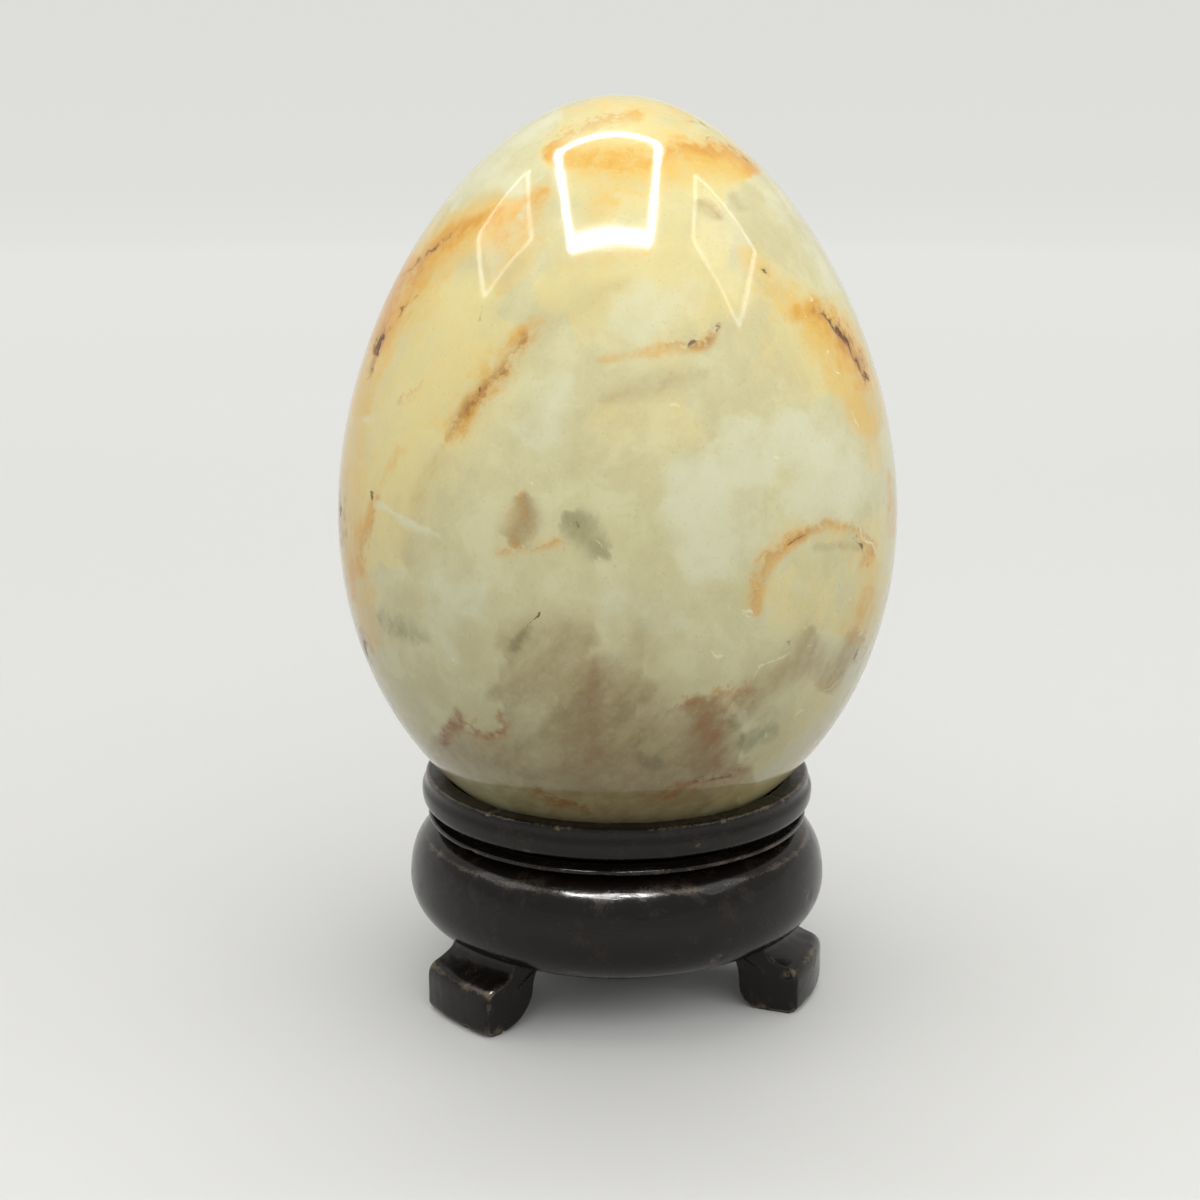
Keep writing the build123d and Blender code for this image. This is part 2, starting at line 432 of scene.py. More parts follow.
# Each foot is finished by hand, so edges, sides and chips differ: (side, radius, height, size).
foot_chips = {
    "left": [(5.1, 21.6, 3.4, 0.6), (4.9, 20.3, 0.3, 0.7), (-5.0, 21.2, 4.0, 0.5), (2.0, 21.9, 0.2, 0.5)],
    "right": [(5.1, 21.5, 0.4, 0.6), (-5.1, 20.8, 4.4, 0.6), (-4.9, 21.4, 1.2, 0.4), (-5.1, 18.5, 0.2, 0.6)],
    "back": [(5.1, 21.0, 3.9, 0.5), (-4.8, 21.6, 0.3, 0.6)],
}
edge_rub_width, sole_height = 1.1, 0.02
for turn, foot_name in enumerate(foot_names):
    foot_grid = foot_shape(*foot_backs[foot_name])
    flat = foot_grid.reshape(-1, 3)
    normals = outward(foot_grid, True).reshape(-1, 3)
    dent = 0.05 * (1 + lumps(flat, 6, 40 + turn)) + 0.02 * (1 + lumps(flat, 1.6, 50 + turn))
    from_middle, height = np.abs(flat[:, 1]), flat[:, 2]
    edge_wear = np.clip((from_middle - foot_width / 2) / edge_rub_width + 1, 0, 1)
    on_edge = np.where(from_middle < foot_width / 2 - 0.002, edge_wear, 0)
    shoulder_wear_and_highlight = bell(radius_of(flat), foot_radius - 0.5, 0.5) * bell(height, 4.7, 0.5)
    wear_and_highlight_here = 0.5 * on_edge + 0.25 * (height < 0.7) * (height > sole_height) + 0.6 * shoulder_wear_and_highlight
    for side, radius, up_from_floor, size in foot_chips[foot_name]:
        middle = np.array([np.sqrt(radius**2 - side**2), side, up_from_floor])
        near = np.exp(-(np.linalg.norm(flat - middle, axis=1) / size) ** 4)
        dent = dent + near * size * 0.45
        wear_and_highlight_here = np.maximum(wear_and_highlight_here, near * 0.8)
    moved = flat - normals * np.where(height < sole_height, 0, dent)[:, None]
    moved[:, 2] = np.clip(moved[:, 2], 0, None)
    bearing = first_foot_bearing + tau * turn / len(foot_names)
    across = np.array([[cos(bearing), -sin(bearing), 0], [sin(bearing), cos(bearing), 0], [0, 0, 1]])
    turned_grid = (moved @ across.T).reshape(foot_grid.shape)
    label = "foot_" + foot_name
    foot = make_piece(
        label + "_wood", turned_grid, True, [("worn", wear_and_highlight_here)], lacquer, "stand"
    )
    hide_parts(label)

# ---- Body
# The bulging block of the stand, turned from one piece of the same wood: a bead and a quirk at
# its top, a full side and a small fillet underneath. Its top is hollowed for the egg.
quirk_bottom, neck_bottom = 17.563, 18.913
neck_radius, spigot_radius = 17.6, 16.5
bead_radius, bead_height = 19.9, 0.65
spigot_bottom = 16.913
dish_floor_radius, dish_floor = 6.5, 11.05
dish_waist = (15.0, neck_bottom)
egg_height, egg_diameter, egg_middle = 76.0, 56.4, 53.65
egg_taper, egg_fullness = 0.118, 0.049
lip_top, seat_depth, seat_gap = 23.263, 0.75, 0.2
glue_gap = 0.05


def egg_radius(height):
    """The egg's radius at a height: half its width, times the sine of the angle from its top,
    times 1 less the taper times the angle's cosine less the fullness times its square."""
    lean = np.clip((height - egg_middle) / (egg_height / 2), -1, 1)
    return egg_diameter / 2 * np.sqrt(1 - lean**2) * (1 - egg_taper * lean - egg_fullness * lean**2)


def dish_wall(count=60):
    """Points of the hollow's wall from its mouth at the seat down to its floor: a smooth curve
    through mouth, waist and floor, from the quadratic that passes them, by height."""
    mouth_height = lip_top - seat_depth
    mouth = (egg_radius(mouth_height) + seat_gap, mouth_height)
    height = np.linspace(mouth_height, dish_floor, count)
    drop = (height - dish_floor) / (mouth_height - dish_floor)
    waist_drop = (dish_waist[1] - dish_floor) / (mouth_height - dish_floor)
    rise = (dish_waist[0] - dish_floor_radius) / (mouth[0] - dish_floor_radius)
    power = np.log(rise) / np.log(waist_drop)
    return np.stack([dish_floor_radius + (mouth[0] - dish_floor_radius) * drop**power, height], 1)


def turned(outline, columns):
    """A grid of points: each point of an outline, a radius and a height, carried once round."""
    bearing = np.linspace(0, tau, columns, endpoint=False)
    radius, height = outline[:, :1], outline[:, 1:]
    return np.stack([radius * np.cos(bearing), radius * np.sin(bearing), height + 0 * bearing], -1)


def wear_marks(points, marks):
    """(how deep a dent, how bare the wood) at each point, from marks on a turned piece: each is
    (bearing in degrees from the front, height, length round, length up, depth, bareness)."""
    bearing = np.degrees(np.arctan2(points[:, 0], -points[:, 1]))
    radius = radius_of(points)
    dent, bare = np.zeros(len(points)), np.zeros(len(points))
    for toward, height, long, high, depth, bareness in marks:
        round_way = np.radians((bearing - toward + 180) % 360 - 180) * radius
        near = np.exp(-((round_way / long) ** 2 + ((points[:, 2] - height) / high) ** 2) ** 1.5)
        dent += depth * near
        bare = np.maximum(bare, bareness * near)
    return dent, bare


def side_highlight_share(points):
    """How strongly the painted edge highlights show there: all of it at the left and right, and a third in
    front and behind."""
    return 0.35 + 0.65 * np.abs(points[:, 0]) / np.maximum(radius_of(points), 1)


wall = dish_wall()
bead_arc = np.linspace(-pi / 2, pi / 2, 16)[:, None]
bead_middle = neck_bottom - bead_height / 2
bead = np.hstack(
    [bead_radius - bead_height / 2 * (1 - np.cos(bead_arc)), bead_middle + bead_height / 2 * np.sin(bead_arc)]
)
socket_radius, socket_bottom = spigot_radius + glue_gap, spigot_bottom - glue_gap
body_outline = softened(
    [
        [(0, body_bottom), (fillet_radius, body_bottom), (fillet_radius, body_edge)],
        bend((bulge_radius, bulge), down, (body_edge_radius, body_edge), into, 0.55)[::-1],
        bend((neck_radius, quirk_bottom), out, (bulge_radius, bulge), down, 0.62)[::-1],
        [(neck_radius, neck_bottom - bead_height)],
        bead,
        [(socket_radius, neck_bottom), (socket_radius, socket_bottom)],
        wall[wall[:, 1] < socket_bottom],
        [(0, dish_floor)],
    ],
    step=0.04,
    easing=0.09,
    closed=False,
)
body_outline[0], body_outline[-1] = (0, body_bottom), (0, dish_floor)
body_outline = spaced(body_outline, count=250, flat=0.5, closed=False)
body_outline[:, 0] = np.maximum(body_outline[:, 0], 0)
body_grid = turned(body_outline, 360)
flat = body_grid.reshape(-1, 3)
normals = outward(body_grid, True).reshape(-1, 3)
body_marks = [
    (28, 9.6, 0.5, 0.35, 0.10, 0.9),
    (27, 9.2, 0.9, 0.7, 0.0, 0.6),
    (-31, 13.6, 1.6, 0.2, 0.03, 0.4),
    (6, 14.9, 0.5, 0.3, 0.05, 0.5),
    (-12, 8.3, 1.0, 0.3, 0.05, 0.5),
    (64, 12.2, 0.6, 0.5, 0.06, 0.6),
    (-75, 10.5, 0.8, 0.6, 0.05, 0.6),
    (140, 12.8, 0.7, 0.5, 0.06, 0.6),
    (-150, 11.0, 0.9, 0.4, 0.05, 0.6),
    (-4, 18.5, 0.8, 0.3, 0.12, 0.7),
    (37, 18.6, 0.5, 0.3, 0.12, 0.7),
    (-48, 18.4, 0.6, 0.3, 0.10, 0.7),
]
dent, bare = wear_marks(flat, body_marks)
dent += 0.03 * (1 + lumps(flat, 14, 11)) + 0.008 * (1 + lumps(flat, 2.2, 12, 9))
radius, height = radius_of(flat), flat[:, 2]
# Painted highlights: a paler band round the body's shoulder where it catches the light, and a paler bead
# crest, strongest at the sides.
crest_width, highlight_band_height, highlight_band_from = 0.25, 16.55, 19
bead_crest_highlight = np.clip((radius - bead_radius) / crest_width + 1, 0, 1) * (height > neck_bottom - bead_height)
shoulder_wear_and_highlight = bell(height, highlight_band_height, 0.3) * (radius > highlight_band_from)
wear_and_highlight_here = np.maximum.reduce([bare, 0.75 * bead_crest_highlight * side_highlight_share(flat), 0.62 * shoulder_wear_and_highlight])
moved = flat - normals * (dent * (radius > 0.01))[:, None]
body_piece = make_piece(
    "body_wood",
    moved.reshape(body_grid.shape),
    True,
    [("worn", wear_and_highlight_here)],
    lacquer,
    "stand",
)
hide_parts("body")

# ---- Rim
# A separate turned ring with a spigot glued into the body. Its flat lip carries the egg, and the
# band under the lip swells a little. Lacquered with the rest, and rubbed where the egg sits.
lip_radius, lip_edge_radius = 20.1, 0.55
lip_side = (lip_radius, lip_top - lip_edge_radius)
band_bottom, band_undercut = 19.913, 1.2
band_radius, band_swell_drop = 20.5, 2.0
swell = (band_radius, lip_top - band_swell_drop)
seat_top_radius = float(egg_radius(lip_top)) + seat_gap
rim_outline = softened(
    [
        [(seat_top_radius, lip_top)],
        bend((lip_radius - lip_edge_radius, lip_top), out, lip_side, down, 0.55, 10),
        bend(lip_side, down, swell, down, 0.55, 12),
        bend(swell, down, (band_radius - band_undercut, band_bottom), into, 0.8, 16),
        [(neck_radius, band_bottom), (neck_radius, neck_bottom + joint_gap)],
        [(spigot_radius, neck_bottom + joint_gap), (spigot_radius, spigot_bottom)],
        wall[wall[:, 1] > spigot_bottom][::-1],
    ],
    step=0.03,
    easing=0.07,
)
rim_outline = spaced(rim_outline, count=190, flat=0.3)
rim_grid = turned(rim_outline, 480)
flat = rim_grid.reshape(-1, 3)
normals = outward(rim_grid, False).reshape(-1, 3)
rim_marks = [
    (-40, 23.1, 0.5, 0.3, 0.14, 0.8),
    (-17, 23.0, 0.4, 0.3, 0.10, 0.7),
    (9, 23.1, 0.9, 0.25, 0.08, 0.6),
    (31, 23.0, 0.5, 0.3, 0.12, 0.7),
    (57, 23.0, 0.4, 0.3, 0.10, 0.7),
    (22, 21.2, 0.5, 0.3, 0.05, 0.6),
    (-26, 20.4, 0.7, 0.2, 0.06, 0.6),
    (120, 23.1, 0.7, 0.3, 0.10, 0.7),
    (-134, 23.0, 0.5, 0.3, 0.12, 0.7),
    (172, 20.2, 0.6, 0.2, 0.08, 0.7),
]
dent, bare = wear_marks(flat, rim_marks)
dent += 0.02 * (1 + lumps(flat, 12, 21)) + 0.006 * (1 + lumps(flat, 2.0, 22, 9))
radius, height = radius_of(flat), flat[:, 2]
seat_rub = bell(radius, seat_top_radius, 0.35) * (height > lip_top - seat_depth - 0.2)
# A painted highlight along the lip's outer edge, strongest at the sides.
lip_edge_highlight = bell(radius, lip_radius - 0.2, 0.2) * (height > lip_top - 0.5)
wear_and_highlight_here = np.maximum.reduce([bare, 0.5 * seat_rub, 0.8 * lip_edge_highlight * side_highlight_share(flat)])
moved = flat - normals * dent[:, None]
rim_piece = make_piece(
    "rim_wood",
    moved.reshape(rim_grid.shape),
    False,
    [("worn", wear_and_highlight_here)],
    lacquer,
    "stand",
)
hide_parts("rim")

# ---- Egg
# One solid egg of veined onyx-like stone, turned, ground and polished to a high gloss. Pale green
# and cream clouds lie under honey, ochre and rust veins, with fine open cracks here and there.
egg_rows, egg_columns, front_density = 328, 300, 0.5
turn = np.linspace(0, tau, egg_columns, endpoint=False)
bearing = turn - front_density * np.sin(turn)
angle = np.linspace(0, pi, egg_rows)
height = egg_middle + egg_height / 2 * np.cos(angle)
radius = egg_radius(height)
egg_grid = np.stack(
    [
        radius[:, None] * np.sin(bearing),
        -radius[:, None] * np.cos(bearing),
        np.broadcast_to(height[:, None], (egg_rows, egg_columns)),
    ],
    -1,
)
egg_points = egg_grid.reshape(-1, 3)
egg_normals = outward(egg_grid, True).reshape(-1, 3)


def seen_from(bearing):
    """Where each point of the egg is seen, in pixels of a photograph taken from the viewpoint
    carried round the axis by that bearing in degrees, and how squarely it faces that way."""
    turn = radians(bearing)
    back = np.array([[cos(turn), sin(turn), 0], [-sin(turn), cos(turn), 0], [0, 0, 1]])
    ray = egg_points @ back.T - eye
    facing = -np.sum((egg_normals @ back.T) * ray, axis=1) / np.linalg.norm(ray, axis=1)
    depth = ray[:, 1] * cos(eye_drop) - ray[:, 2] * sin(eye_drop)
    rise = ray[:, 1] * sin(eye_drop) + ray[:, 2] * cos(eye_drop)
    seen = np.stack([ray[:, 0] / depth, -rise / depth], 1) * focal_pixels + photo_side / 2
    stray = [lumps(egg_points, 5, seed) * 3 + lumps(egg_points, 2, seed + 1) * 1.5 for seed in (61, 63)]
    return seen + np.stack(stray, 1), facing


def smooth_line(points, parts=6):
    """A line through the points with no corners: a Catmull-Rom curve, also of the widths."""
    points = np.array(points, float)
    if len(points) == 1:
        points = np.vstack([points, points + (0.01, 0, 0)])
    ends = np.vstack([2 * points[0] - points[1], points, 2 * points[-1] - points[-2]])
    t = np.linspace(0, 1, parts, endpoint=False)[:, None]
    spans = [
        0.5 * (2 * b + (c - a) * t + (2 * a - 5 * b + 4 * c - d) * t**2 + (3 * b - a - 3 * c + d) * t**3)
        for a, b, c, d in zip(ends, ends[1:], ends[2:], ends[3:])
    ]
    return np.vstack([*spans, points[-1:]])


def near_line(here, line):
    """(distance from a line in pixels, with the side's sign; half width there, less than none
    past the line's ends) for each point here."""
    best, half, side = np.full(len(here), 99.0), np.zeros(len(here)), np.ones(len(here))
    for index, (a, b) in enumerate(zip(line, line[1:])):
        way = b[:2] - a[:2]
        offset = here - a[:2]
        along = offset @ way / (way @ way)
        past = ((along < 0) & (index == 0)) | ((along > 1) & (index == len(line) - 2))
        along = np.clip(along, 0, 1)
        gap = np.linalg.norm(offset - along[:, None] * way, axis=1)
        nearer = gap < best
        best = np.where(nearer, gap, best)
        half = np.where(nearer, a[2] + (b[2] - a[2]) * along - past * gap, half)
        side = np.where(nearer, np.sign(way[0] * offset[:, 1] - way[1] * offset[:, 0]), side)
    return side * best, half


least_half = 5


def soft_marks(seen, facing, marks):
    """How strongly soft marks colour each point of the egg, 0 to 1.

    A mark is (strength, points), and a point is (x, y, half width) in pixels. Each adds a bell
    curve of the distance from its line, half as strong at its half width. A lean, where one
    follows the points, makes it steeper on the side that its sign names. The mesh holds no
    narrower mark than the least half width, and a mark fades out over the silhouette.
    """
    whole = np.zeros(len(seen))
    for strength, points, *leans in marks:
        lean = sum(leans)
        line = smooth_line(points)
        line[:, 2] = np.maximum(line[:, 2], least_half)
        pad = 3 * line[:, 2].max()
        low, high = line[:, :2].min(0) - pad, line[:, :2].max(0) + pad
        close = np.flatnonzero((facing > -0.2) & np.all((seen > low) & (seen < high), axis=1))
        across, half = near_line(seen[close], line)
        ratio = np.abs(across) / np.maximum(half, least_half)
        ratio = ratio * np.where(across * lean > 0, 1 + abs(lean), 1)
        turned_away = np.clip((0.2 - facing[close]) / 0.4, 0, 1)
        fade = strength * (1 - turned_away**2 * (3 - 2 * turned_away))
        whole[close] = 1 - (1 - whole[close]) * (1 - fade * np.exp(-0.7 * ratio**2))
    return whole


def crisp_marks(seen, facing, marks, room):
    """(distance across the nearest line with the side's sign, its half width) in pixels, for
    each point of the egg. Beyond that room, and over the silhouette, the half width falls away
    to less than none, so that nothing shows."""
    edge, none = room + 6.0, -8.0
    across, reach = np.full(len(seen), edge), np.full(len(seen), none)
    for points in marks:
        line = smooth_line(points)
        low, high = line[:, :2].min(0) - edge, line[:, :2].max(0) + edge
        close = np.flatnonzero((facing > -0.1) & np.all((seen > low) & (seen < high), axis=1))
        gap, half = near_line(seen[close], line)
        half -= np.maximum(np.abs(gap) - room, 0) * 1.5 + np.clip((0.1 - facing[close]) / 0.2, 0, 1) * 9
        wins = half - np.abs(gap) > reach[close] - np.abs(across[close])
        across[close] = np.where(wins, np.clip(gap, -edge, edge), across[close])
        reach[close] = np.where(wins, np.maximum(half, none), reach[close])
    return across, reach


# The stone's markings, by kind, as seen from the front: (strength, [(x, y, half width)], lean).
front_marks = {
    "honey": [
        (0.95, [(512, 205, 20), (465, 232, 26), (425, 262, 26), (396, 300, 26),
                (375, 350, 20), (358, 410, 14)]),
        (0.9, [(548, 150, 12), (590, 160, 24), (640, 165, 28), (700, 160, 24), (748, 172, 12)]),
        (0.6, [(545, 185, 18), (520, 240, 26), (500, 290, 18)]),
        (0.5, [(600, 210, 40)]),
        (0.45, [(520, 330, 14), (480, 380, 24), (450, 440, 22)]),
        (0.25, [(440, 320, 40), (420, 400, 44), (390, 470, 34)]),
        (0.7, [(352, 420, 16), (350, 500, 18), (356, 580, 18), (372, 650, 12)]),
        (0.6, [(745, 250, 16), (790, 300, 24), (835, 340, 30), (862, 400, 24), (878, 470, 14)]),
        (0.8, [(815, 320, 16), (850, 372, 20), (872, 430, 12)]),
        (0.35, [(700, 300, 30), (760, 340, 30)]),
        (0.5, [(748, 605, 14), (765, 560, 16), (810, 530, 20), (862, 545, 20)]),
        (0.55, [(872, 560, 14), (862, 610, 18), (848, 640, 16)]),
        (0.35, [(500, 545, 12), (540, 545, 14), (570, 540, 8)]),
        (0.5, [(560, 112, 10), (620, 104, 12), (690, 118, 12)]),
    ],
    "cream": [
        (0.95, [(470, 300, 60), (430, 380, 70), (390, 470, 50), (365, 560, 30)]),
        (0.8, [(560, 290, 50), (640, 270, 60), (720, 290, 60)]),
        (0.85, [(800, 320, 60), (846, 380, 40)]),
        (0.7, [(884, 520, 24), (866, 640, 30)]),
        (0.7, [(840, 690, 30), (790, 760, 24), (720, 800, 16)]),
        (0.9, [(560, 150, 40), (640, 150, 50), (730, 170, 40)]),
        (0.6, [(780, 590, 40), (820, 610, 40)]),
        (0.5, [(600, 420, 40), (680, 430, 50)]),
    ],
    "milk": [
        (0.8, [(452, 205, 10), (500, 150, 16), (560, 112, 12)]),
        (0.5, [(470, 178, 8), (520, 185, 14)]),
        (0.6, [(770, 195, 14), (808, 240, 14), (838, 290, 10)]),
        (0.6, [(520, 440, 20), (548, 404, 22), (570, 375, 12)]),
        (0.55, [(640, 330, 30), (640, 290, 30)]),
        (0.9, [(690, 480, 50), (720, 520, 50), (700, 570, 36)]),
        (0.35, [(540, 440, 34), (620, 450, 40), (680, 440, 36)]),
        (0.95, [(790, 430, 40), (840, 480, 36), (800, 500, 34)]),
        (0.8, [(730, 430, 30), (760, 470, 34)]),
        (0.6, [(430, 620, 34), (480, 600, 34)]),
        (0.5, [(620, 320, 30), (700, 290, 30)]),
        (0.5, [(440, 560, 24), (470, 600, 30)]),
        (0.55, [(600, 600, 24), (680, 620, 24)]),
        (0.95, [(380, 501, 2), (398, 513, 6), (416, 524, 7), (440, 536, 2)], -2.5),
        (0.7, [(448, 645, 3), (457, 660, 4)]),
        (0.6, [(800, 590, 24)]),
        (0.55, [(786, 385, 7), (775, 378, 5)]),
        (0.7, [(760, 780, 7), (812, 735, 9), (846, 690, 9), (868, 640, 6)]),
        (0.5, [(884, 430, 5), (890, 500, 4), (888, 570, 5)]),
    ],
    "grey": [
        (0.95, [(566, 516, 12), (586, 534, 16), (604, 556, 12)]),
        (0.6, [(574, 535, 5), (580, 520, 5)]),
        (0.35, [(720, 465, 14), (748, 448, 12)]),
        (0.8, [(644, 760, 6), (658, 765, 6)]),
        (0.4, [(640, 700, 26), (560, 720, 20)]),
        (0.4, [(742, 712, 16), (775, 716, 14)]),
        (0.35, [(700, 560, 20)]),
        (0.5, [(815, 548, 4), (862, 545, 7)]),
        (0.3, [(480, 700, 30), (540, 740, 30)]),
    ],
    "moss": [
        (0.5, [(382, 616, 12), (402, 626, 15), (424, 638, 10)]),
        (0.55, [(530, 628, 5), (514, 648, 7)]),
        (0.8, [(776, 728, 6), (764, 736, 7), (742, 746, 9)]),
        (0.5, [(735, 722, 16)]),
        (0.35, [(655, 764, 10), (640, 744, 8)]),
        (0.3, [(500, 785, 12), (520, 795, 10)]),
        (0.4, [(765, 270, 4)]),
        (0.35, [(575, 525, 12)]),
    ],
    "umber": [
        (0.5, [(596, 665, 8), (588, 700, 12), (590, 760, 14)]),
        (0.3, [(640, 620, 12), (650, 655, 16)]),
        (0.55, [(855, 635, 9), (842, 668, 13), (825, 690, 12)]),
        (0.7, [(700, 700, 14), (708, 735, 18), (700, 770, 18)]),
        (0.5, [(740, 700, 16), (800, 660, 20), (812, 630, 12)]),
        (0.35, [(600, 400, 10), (660, 386, 20), (705, 370, 8)]),
        (0.7, [(512, 540, 15), (524, 520, 16), (526, 496, 10)]),
        (0.3, [(455, 430, 14), (500, 372, 20), (545, 322, 22), (590, 296, 18), (630, 280, 6)]),
        (0.3, [(410, 560, 14), (420, 500, 16), (440, 450, 14)]),
        # These bands across the bottom are brown staining and also painted shade, darkening the egg's
        # underside.
        (0.6, [(440, 745, 24), (540, 770, 40), (640, 775, 50), (740, 780, 34)]),
        (0.4, [(560, 730, 36), (640, 725, 40), (720, 730, 40)]),
        (0.35, [(520, 800, 20), (620, 812, 22), (700, 800, 16)]),
        (0.5, [(500, 690, 26), (560, 680, 34), (640, 690, 30)]),
        (0.35, [(500, 640, 20), (540, 630, 24), (590, 640, 20)]),
        (0.45, [(700, 205, 10), (716, 216, 8)]),
        (0.35, [(730, 196, 8), (746, 208, 8)]),
    ],
    "ochre": [
        (0.9, [(500, 208, 8), (452, 234, 15), (424, 262, 14), (400, 292, 14),
               (384, 325, 12), (374, 352, 8)], 0.8),
        (0.6, [(412, 262, 14), (388, 300, 14), (372, 345, 10)]),
        (0.45, [(545, 156, 8), (565, 139, 8), (606, 121, 7), (640, 116, 6)]),
        (0.6, [(556, 158, 8), (610, 160, 14), (650, 160, 10)]),
        (0.85, [(655, 158, 8), (685, 150, 12), (702, 150, 12), (728, 152, 10), (756, 170, 7)]),
        (0.5, [(545, 190, 12), (515, 225, 16), (500, 250, 10)]),
        (0.6, [(375, 495, 7), (369, 518, 9), (362, 545, 9), (357, 575, 6)]),
        (0.35, [(398, 450, 8), (378, 488, 9)]),
        (0.65, [(754, 612, 6), (757, 585, 9), (768, 561, 12), (786, 546, 11), (806, 533, 9), (832, 524, 7)]),
        (0.5, [(832, 524, 7), (858, 532, 7), (870, 548, 8), (862, 566, 7)]),
        (0.45, [(872, 590, 8), (862, 615, 9), (852, 640, 8)]),
        (0.6, [(889, 470, 5), (893, 505, 5), (893, 535, 5)]),
        (0.8, [(796, 312, 8), (820, 312, 13), (838, 332, 16), (856, 362, 13), (866, 392, 9)]),
        (0.45, [(776, 320, 6), (798, 316, 9)]),
        (0.5, [(600, 358, 5), (640, 353, 7), (690, 347, 9), (714, 335, 8)]),
        (0.35, [(524, 490, 10), (516, 515, 17), (512, 540, 15)]),
        (0.4, [(497, 552, 5), (520, 548, 7), (545, 546, 8), (562, 542, 6)]),
        (0.6, [(540, 318, 8), (505, 362, 14), (478, 396, 16), (450, 438, 11)]),
        (0.35, [(486, 268, 9), (508, 258, 9)]),
        (0.3, [(470, 176, 5), (479, 160, 5)]),
        (0.4, [(342, 470, 6), (344, 560, 7), (352, 600, 6)]),
        (0.35, [(560, 262, 10), (610, 258, 10), (650, 250, 8)]),
    ],
    "rust": [
        (0.55, [(528, 334, 5), (500, 368, 8), (470, 403, 9), (447, 440, 5)]),
        (0.5, [(690, 347, 7), (708, 343, 8), (720, 326, 5)]),
        (0.6, [(819, 312, 5), (838, 331, 8), (854, 354, 7), (866, 376, 5)]),
        (0.7, [(443, 741, 7), (456, 726, 9), (457, 710, 6)]),
        (0.5, [(461, 726, 7), (480, 736, 7), (500, 732, 8), (500, 714, 5)]),
        (0.6, [(530, 790, 6), (556, 802, 8), (592, 813, 6)]),
        (0.5, [(662, 794, 7), (700, 782, 8), (744, 769, 5)]),
        (0.6, [(672, 710, 8), (705, 700, 14), (738, 697, 14), (752, 688, 6)], -1.2),
        (0.45, [(700, 715, 16), (712, 740, 14), (716, 764, 8)]),
        (0.6, [(337, 480, 5), (338, 510, 6), (341, 545, 5)]),
        (0.6, [(361, 632, 5), (365, 650, 6), (369, 664, 4)]),
        (0.4, [(384, 325, 5), (378, 345, 7), (371, 365, 5)]),
        (0.35, [(713, 204, 8), (722, 217, 6)]),
        (0.35, [(828, 684, 12), (838, 668, 12)]),
        (0.4, [(798, 542, 7), (812, 532, 6)]),
        (0.4, [(856, 628, 5), (861, 645, 7), (856, 660, 6)]),
    ],
}
# Ragged lines of ochre and rust, as (x, y, half width).
front_veins = [
    [(528, 334, 1.5), (508, 357, 3), (490, 380, 4), (470, 403, 5.5), (458, 420, 5), (447, 440, 2)],
    [(664, 350, 1), (690, 347, 4), (706, 344, 6), (715, 334, 4), (720, 322, 2)],
    [(812, 306, 1.5), (826, 318, 4), (838, 331, 6), (852, 352, 5), (864, 372, 3), (870, 392, 1)],
    [(441, 743, 4), (449, 734, 6), (461, 722, 6), (456, 710, 3)],
    [(461, 724, 4), (478, 735, 4), (497, 737, 5), (505, 726, 5), (500, 714, 3)],
    [(532, 790, 2), (556, 802, 5), (590, 813, 3)],
    [(662, 794, 3.5), (690, 785, 4), (722, 779, 3), (744, 769, 2), (758, 756, 1)],
    [(680, 706, 3), (712, 693, 4), (740, 690, 5), (750, 686, 3)],
    [(337, 480, 2), (338, 510, 3), (341, 545, 3)],
    [(361, 632, 2), (364, 648, 3), (368, 662, 2)],
    [(754, 608, 1.5), (757, 585, 2.5), (768, 561, 3.5), (786, 546, 4.5), (806, 533, 4.5), (832, 524, 2)],
    [(832, 524, 1.5), (858, 532, 2.5), (870, 548, 2.5), (862, 566, 1.5)],
    [(545, 156, 2), (565, 139, 3), (606, 121, 2.5), (640, 116, 1)],
    [(655, 158, 1.5), (685, 150, 3.5), (702, 150, 4), (728, 152, 3.5), (756, 170, 1.5)],
    [(400, 406, 1), (414, 392, 2), (426, 379, 1)],
    [(375, 495, 2), (369, 518, 3), (362, 545, 3), (357, 575, 1.5)],
    [(498, 552, 1), (520, 548, 1.8), (545, 546, 2.5), (562, 542, 1.2)],
    [(856, 628, 2), (861, 645, 3), (856, 660, 3)],
    [(484, 214, 1.5), (456, 231, 4), (424, 258, 5), (400, 284, 5), (386, 318, 5),
     (376, 350, 4), (369, 372, 1.5)],
    [(560, 250, 1), (584, 246, 1.5), (612, 252, 1)],
]
